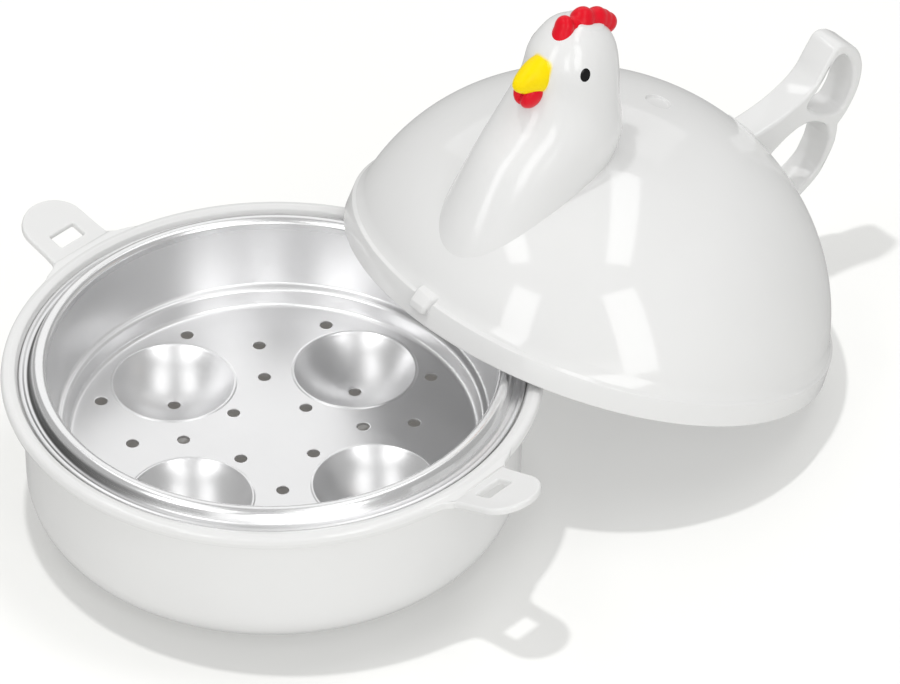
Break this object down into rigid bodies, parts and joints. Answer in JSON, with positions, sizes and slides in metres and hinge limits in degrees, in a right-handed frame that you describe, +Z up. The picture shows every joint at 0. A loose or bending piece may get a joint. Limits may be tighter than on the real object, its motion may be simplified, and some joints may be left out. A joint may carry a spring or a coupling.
{
  "type": "microwave egg cooker",
  "caption": "Hen-shaped microwave egg cooker: round white bowl with latch flaps, perforated aluminium tray with egg cups, and a domed hen lid leaning on its rim.",
  "frame": {"origin": "middle of the bowl's foot, on the table", "axes": "+Z up along the bowl's axis, +X through the right latch flap, and the leaning lid on the +Y side"},
  "size_m": [0.2185, 0.3142, 0.1544],
  "materials": {
    "white_plastic": "gloss",
    "aluminium": "satin",
    "comb_red": "gloss",
    "beak_yellow": "gloss",
    "eye_black": "gloss",
    "screw_steel": "zinc plated"
  },
  "bodies": {
    "base": {"base_bowl": "white_plastic"},
    "tray": {"egg_tray": "aluminium"},
    "lid": {"lid_shell": "white_plastic", "lid_reflector": "aluminium", "hen_head": "white_plastic", "comb": "comb_red", "beak": "beak_yellow", "wattle": "comb_red", "left_eye": "eye_black", "right_eye": "eye_black", "tail_handle": "white_plastic", "head_screw": "screw_steel", "tail_screw": "screw_steel"},
    "right_latch": {"right_latch": "white_plastic"},
    "left_latch": {"left_latch": "white_plastic"}
  },
  "joints": [
    {"name": "tray_lift", "type": "slide", "parent": "base", "child": "tray", "axis": [0, 0, 1], "range_m": [0, 0.06]},
    {"name": "lid_lift", "type": "slide", "parent": "tray", "child": "lid", "axis": [0, 0, 1], "range_m": [0, 0.15]},
    {"name": "right_latch_hinge", "type": "hinge", "parent": "base", "child": "right_latch", "pos_m": [0.08674, 0.00318, 0.0514], "axis": [0.0366, -0.9993, 0], "range_deg": [-16, 73], "stiffness_Nm_per_rad": 0.01},
    {"name": "left_latch_hinge", "type": "hinge", "parent": "base", "child": "left_latch", "pos_m": [-0.0868, 0.00091, 0.0514], "axis": [0.0105, 0.9999, 0], "range_deg": [-14, 75], "stiffness_Nm_per_rad": 0.01}
  ]
}
